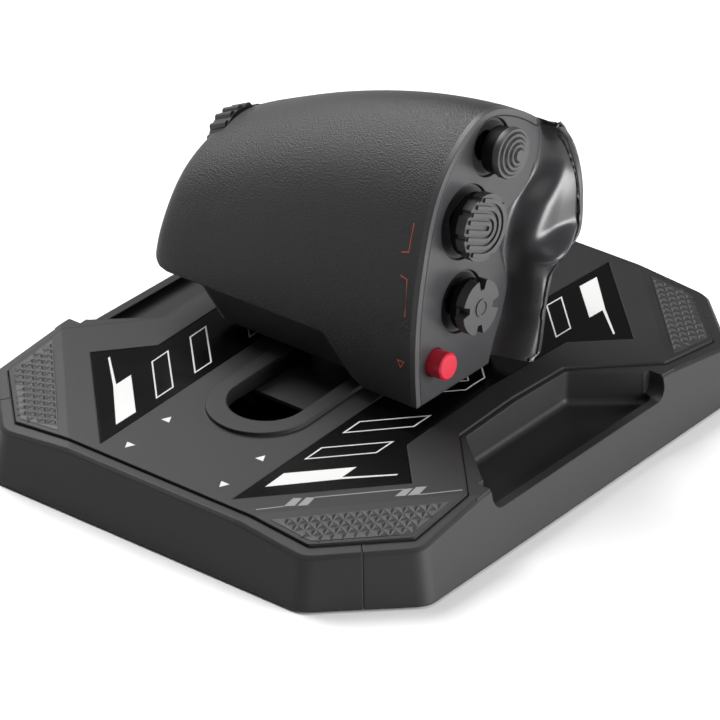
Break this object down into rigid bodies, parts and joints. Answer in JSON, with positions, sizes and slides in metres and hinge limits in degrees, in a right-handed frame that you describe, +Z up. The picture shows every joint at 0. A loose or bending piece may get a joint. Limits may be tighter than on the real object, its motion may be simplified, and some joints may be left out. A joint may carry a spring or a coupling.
{
  "type": "throttle quadrant",
  "caption": "Desk throttle unit: a hand grip with hats, buttons, wheel and paddle slides along a slot in a wide chamfered base.",
  "frame": {"origin": "on the desk under the middle of the base", "axes": "+X towards the thumb side, +Y forwards away from the pilot, +Z up"},
  "size_m": [0.202, 0.242, 0.1277],
  "materials": {
    "base_plastic": "fine moulded texture, charcoal",
    "gloss_panel": "high gloss black insert with printed marks",
    "pad_rubber": "raised triangle pattern",
    "foot_rubber": "plain",
    "steel": "ground",
    "nylon": "plain moulded",
    "circuit_board": "solder mask",
    "inner_plastic": "plain moulded, black",
    "grip_plastic": "coarse moulded grain, black",
    "satin_plastic": "satin, dark grey",
    "socket_plastic": "matt black",
    "control_plastic": "satin, dark grey",
    "red_plastic": "satin red"
  },
  "bodies": {
    "base": {"base_plate": "base_plastic", "rear_fascia": "base_plastic", "front_fascia": "base_plastic", "side_tray_left": "base_plastic", "side_tray_right": "base_plastic", "top_cover": "base_plastic", "deck_panel_left": "gloss_panel", "deck_panel_right": "gloss_panel", "grip_pads": "pad_rubber", "rubber_feet": "foot_rubber", "base_screws": "steel", "guide_rail_left": "steel", "guide_rail_right": "steel", "rail_clamp_front": "nylon", "rail_clamp_rear": "nylon", "main_board": "circuit_board", "pedal_socket": "inner_plastic", "position_sensor": "inner_plastic", "tension_spring": "steel", "tension_pad": "nylon"},
    "slider": {"carriage": "inner_plastic", "slide_bushings": "nylon", "rack": "nylon", "dust_shield": "inner_plastic", "stem": "inner_plastic", "lower_shell": "satin_plastic", "palm_shell": "grip_plastic", "front_shell": "satin_plastic", "thumb_cover": "satin_plastic", "thumb_rest": "satin_plastic", "grip_board": "circuit_board", "wheel_cup": "inner_plastic", "upper_hat_module": "inner_plastic", "upper_hat_socket": "socket_plastic", "middle_hat_module": "inner_plastic", "middle_hat_socket": "socket_plastic", "lower_hat_module": "inner_plastic", "lower_hat_socket": "socket_plastic", "red_button_housing": "inner_plastic", "mini_stick_module": "inner_plastic", "mini_stick_socket": "socket_plastic", "finger_key_housings": "inner_plastic", "paddle_pin": "steel"},
    "pinion": {"pinion": "nylon"},
    "tension_screw": {"tension_screw": "steel"},
    "red_button": {"red_button": "red_plastic"},
    "first_finger_key": {"first_finger_key": "control_plastic"},
    "second_finger_key": {"second_finger_key": "control_plastic"},
    "rotary_wheel": {"rotary_wheel": "control_plastic"},
    "paddle": {"paddle": "satin_plastic"},
    "upper_hat_gimbal": {"upper_hat_gimbal": "inner_plastic"},
    "upper_hat_cap": {"upper_hat_cap": "control_plastic"},
    "middle_hat_gimbal": {"middle_hat_gimbal": "inner_plastic"},
    "middle_hat_cap": {"middle_hat_cap": "control_plastic"},
    "lower_hat_gimbal": {"lower_hat_gimbal": "inner_plastic"},
    "lower_hat_cap": {"lower_hat_cap": "control_plastic"},
    "mini_stick_gimbal": {"mini_stick_gimbal": "inner_plastic"},
    "mini_stick_cap": {"mini_stick_cap": "control_plastic"}
  },
  "joints": [
    {"name": "throttle_slide", "type": "slide", "parent": "base", "child": "slider", "axis": [0, 1, 0], "range_m": [-0.04, 0.04]},
    {"name": "pinion_spin", "type": "hinge", "parent": "base", "child": "pinion", "pos_m": [-0.005, 0, 0.0065], "axis": [0, 0, 1], "range_deg": [-153.5, 153.5]},
    {"name": "tension_turn", "type": "hinge", "parent": "base", "child": "tension_screw", "pos_m": [-0.03, 0, 0.003], "axis": [0, 0, 1], "range_deg": [-180, 180]},
    {"name": "upper_hat_pitch", "type": "hinge", "parent": "slider", "child": "upper_hat_gimbal", "pos_m": [0.03614, 0.0147, 0.11366], "axis": [0, 1, 0], "range_deg": [-8, 8], "stiffness_Nm_per_rad": 0.06},
    {"name": "upper_hat_yaw", "type": "hinge", "parent": "upper_hat_gimbal", "child": "upper_hat_cap", "pos_m": [0.03614, 0.0147, 0.11366], "axis": [-0.0599, 0, 0.9982], "range_deg": [-8, 8], "stiffness_Nm_per_rad": 0.06},
    {"name": "middle_hat_pitch", "type": "hinge", "parent": "slider", "child": "middle_hat_gimbal", "pos_m": [0.03747, -0.0012, 0.09156], "axis": [0, 1, 0], "range_deg": [-8, 8], "stiffness_Nm_per_rad": 0.06},
    {"name": "middle_hat_yaw", "type": "hinge", "parent": "middle_hat_gimbal", "child": "middle_hat_cap", "pos_m": [0.03747, -0.0012, 0.09156], "axis": [-0.0599, 0, 0.9982], "range_deg": [-8, 8], "stiffness_Nm_per_rad": 0.06},
    {"name": "lower_hat_pitch", "type": "hinge", "parent": "slider", "child": "lower_hat_gimbal", "pos_m": [0.03922, -0.0052, 0.06246], "axis": [0, 1, 0], "range_deg": [-8, 8], "stiffness_Nm_per_rad": 0.06},
    {"name": "lower_hat_yaw", "type": "hinge", "parent": "lower_hat_gimbal", "child": "lower_hat_cap", "pos_m": [0.03922, -0.0052, 0.06246], "axis": [-0.0599, 0, 0.9982], "range_deg": [-8, 8], "stiffness_Nm_per_rad": 0.06},
    {"name": "mini_stick_pitch", "type": "hinge", "parent": "slider", "child": "mini_stick_gimbal", "pos_m": [0.015, 0.037, 0.092], "axis": [-1, 0, 0], "range_deg": [-8, 8], "stiffness_Nm_per_rad": 0.06},
    {"name": "mini_stick_yaw", "type": "hinge", "parent": "mini_stick_gimbal", "child": "mini_stick_cap", "pos_m": [0.015, 0.037, 0.092], "axis": [0, 0, 1], "range_deg": [-8, 8], "stiffness_Nm_per_rad": 0.06},
    {"name": "red_button_press", "type": "slide", "parent": "slider", "child": "red_button", "axis": [-0.9982, 0, -0.0599], "range_m": [0, 0.0018], "stiffness_N_per_m": 400},
    {"name": "first_finger_key_press", "type": "slide", "parent": "slider", "child": "first_finger_key", "axis": [0, -1, 0], "range_m": [0, 0.0018], "stiffness_N_per_m": 400},
    {"name": "second_finger_key_press", "type": "slide", "parent": "slider", "child": "second_finger_key", "axis": [0, -1, 0], "range_m": [0, 0.0018], "stiffness_N_per_m": 400},
    {"name": "rotary_wheel_turn", "type": "hinge", "parent": "slider", "child": "rotary_wheel", "pos_m": [-0.0639, 0.013, 0.0799], "axis": [0.9063, 0, 0.4226], "range_deg": [-60, 60]},
    {"name": "paddle_rock", "type": "hinge", "parent": "slider", "child": "paddle", "pos_m": [-0.016, 0.051, 0.062], "axis": [0, 0, 1], "range_deg": [-8, 8], "stiffness_Nm_per_rad": 0.4}
  ],
  "couplings": [
    {"joint": "pinion_spin", "follows": "throttle_slide", "rad_per_m": 66.667}
  ]
}
